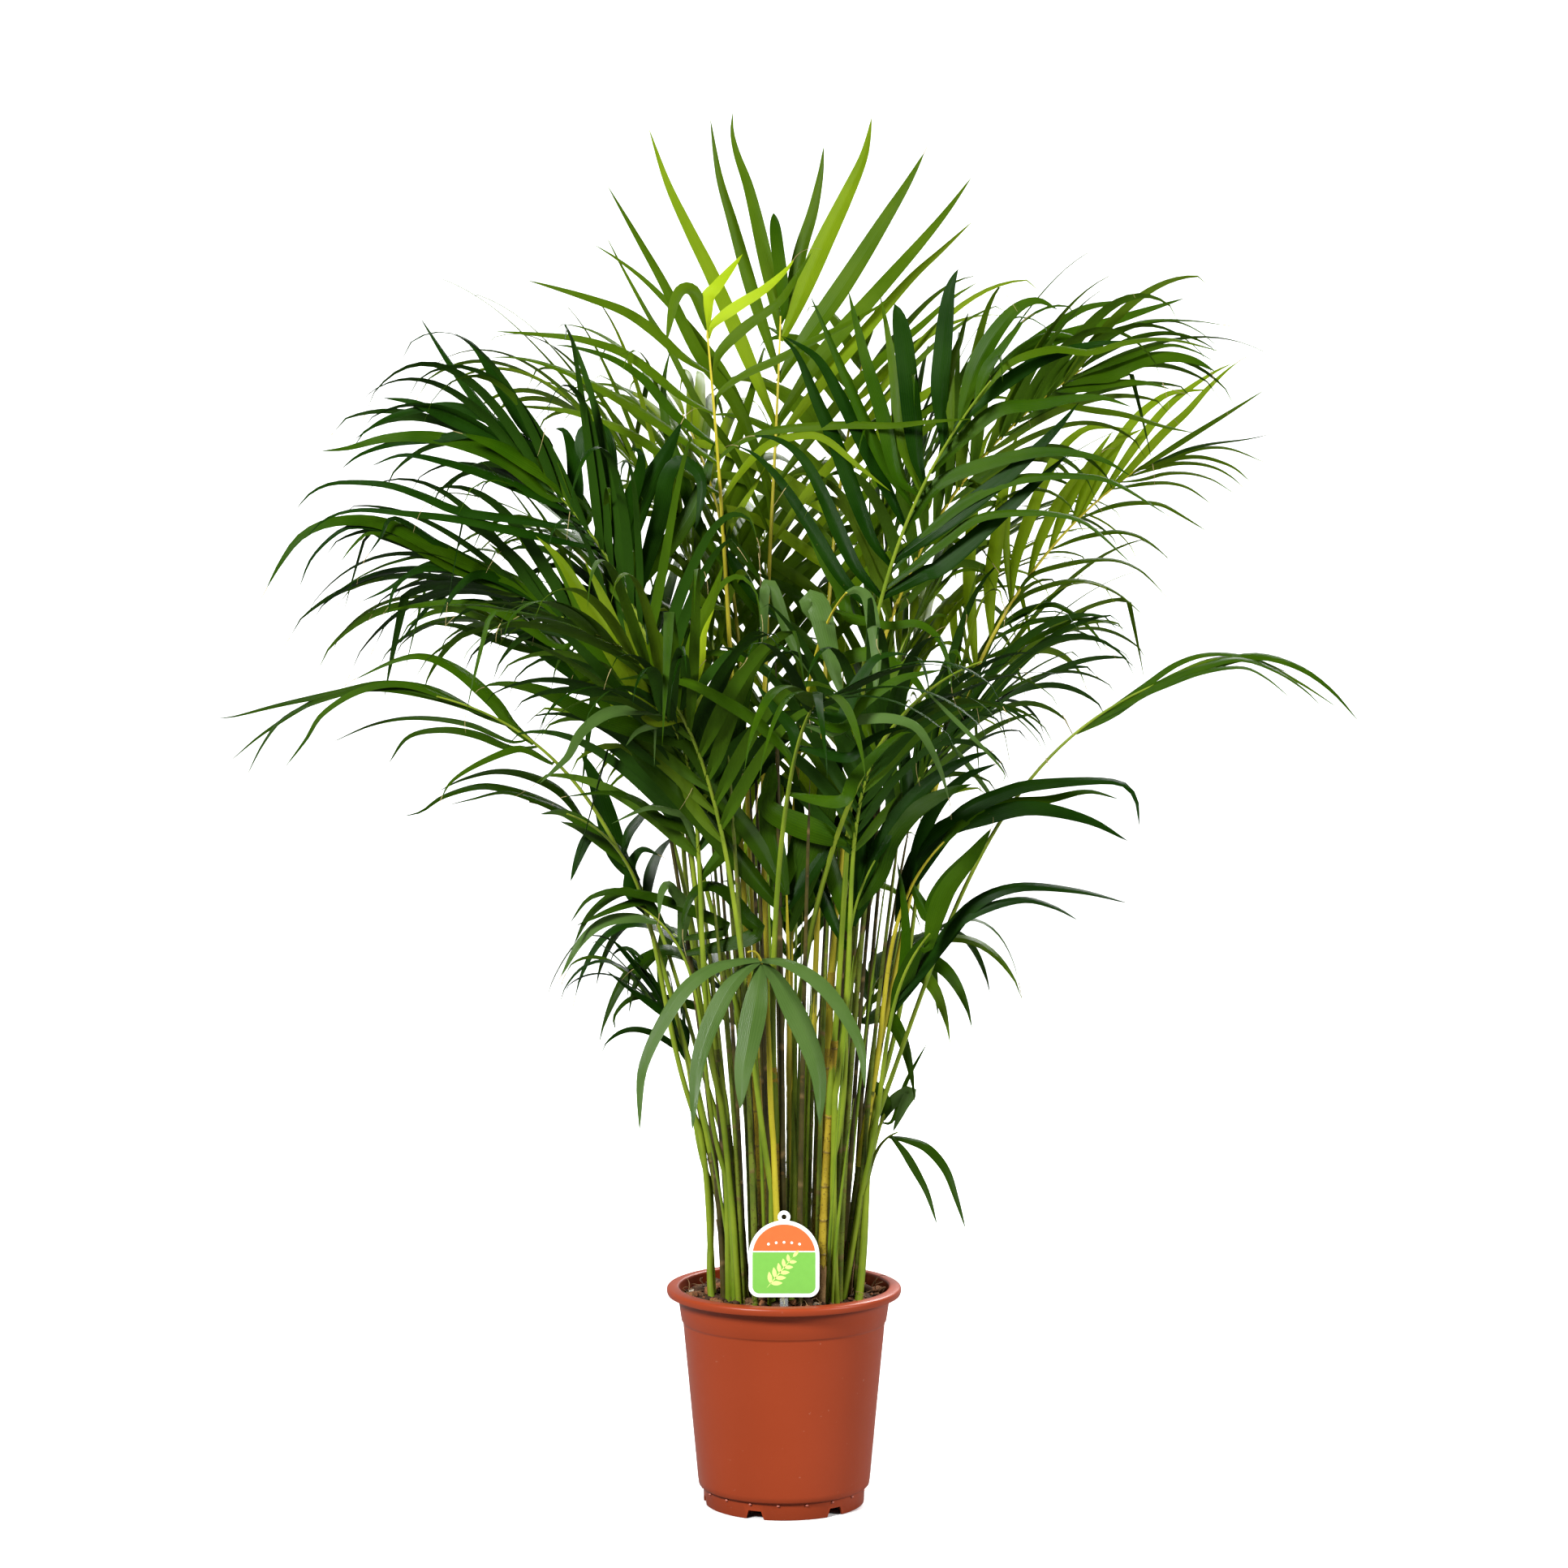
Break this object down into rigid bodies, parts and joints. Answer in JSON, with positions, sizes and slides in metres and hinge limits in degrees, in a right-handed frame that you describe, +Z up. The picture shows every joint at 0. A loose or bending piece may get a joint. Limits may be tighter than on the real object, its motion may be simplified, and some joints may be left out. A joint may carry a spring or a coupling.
{
  "type": "potted areca palm",
  "caption": "Clumping areca palm in a tapered plastic nursery pot: slender canes rise from the soil into arching feathery fronds, with a plant label on a stake.",
  "frame": {"origin": "centre of the bounding box's underside, at the centre of the pot's foot ring on the surface it stands on", "axes": "+Z up along the clump, -Y towards the front where the label stands, +X to the right seen from the front"},
  "size_m": [1.1238, 1.0016, 1.3753],
  "materials": {
    "pot": "satin",
    "potting_soil": "matte",
    "label": "satin",
    "stake": "gloss",
    "cane": "satin",
    "young_leaf": "satin",
    "leaf": "satin",
    "lower_leaf": "satin",
    "broad_leaf": "satin"
  },
  "bodies": {
    "root": {"pot": "pot", "potting_soil": "potting_soil", "plant_label": "label", "label_stake": "stake", "cane_01": "cane", "cane_02": "cane", "cane_03": "cane", "cane_04": "cane", "cane_05": "cane", "cane_06": "cane", "cane_07": "cane", "cane_08": "cane", "cane_09": "cane", "cane_10": "cane", "cane_11": "cane", "cane_12": "cane", "cane_13": "cane", "cane_14": "cane", "frond_01": "young_leaf", "frond_02": "young_leaf", "frond_03": "leaf", "frond_04": "broad_leaf", "frond_05": "broad_leaf", "frond_06": "broad_leaf", "frond_07": "leaf", "frond_08": "leaf", "frond_09": "lower_leaf", "frond_10": "lower_leaf", "frond_11": "leaf", "frond_12": "broad_leaf", "frond_13": "lower_leaf", "frond_14": "leaf", "frond_15": "leaf", "frond_16": "leaf", "frond_17": "broad_leaf", "frond_18": "leaf", "frond_19": "leaf", "frond_20": "young_leaf", "frond_21": "leaf", "frond_22": "leaf", "frond_23": "lower_leaf", "frond_24": "leaf", "frond_25": "leaf", "frond_26": "lower_leaf", "frond_27": "broad_leaf", "frond_28": "lower_leaf", "frond_29": "broad_leaf", "frond_30": "broad_leaf", "frond_31": "leaf", "frond_32": "leaf", "frond_33": "leaf", "frond_34": "leaf", "frond_35": "lower_leaf", "frond_36": "lower_leaf", "frond_37": "lower_leaf", "frond_38": "broad_leaf", "frond_39": "broad_leaf", "frond_40": "lower_leaf", "frond_41": "leaf", "frond_42": "leaf"}
  },
  "joints": []
}
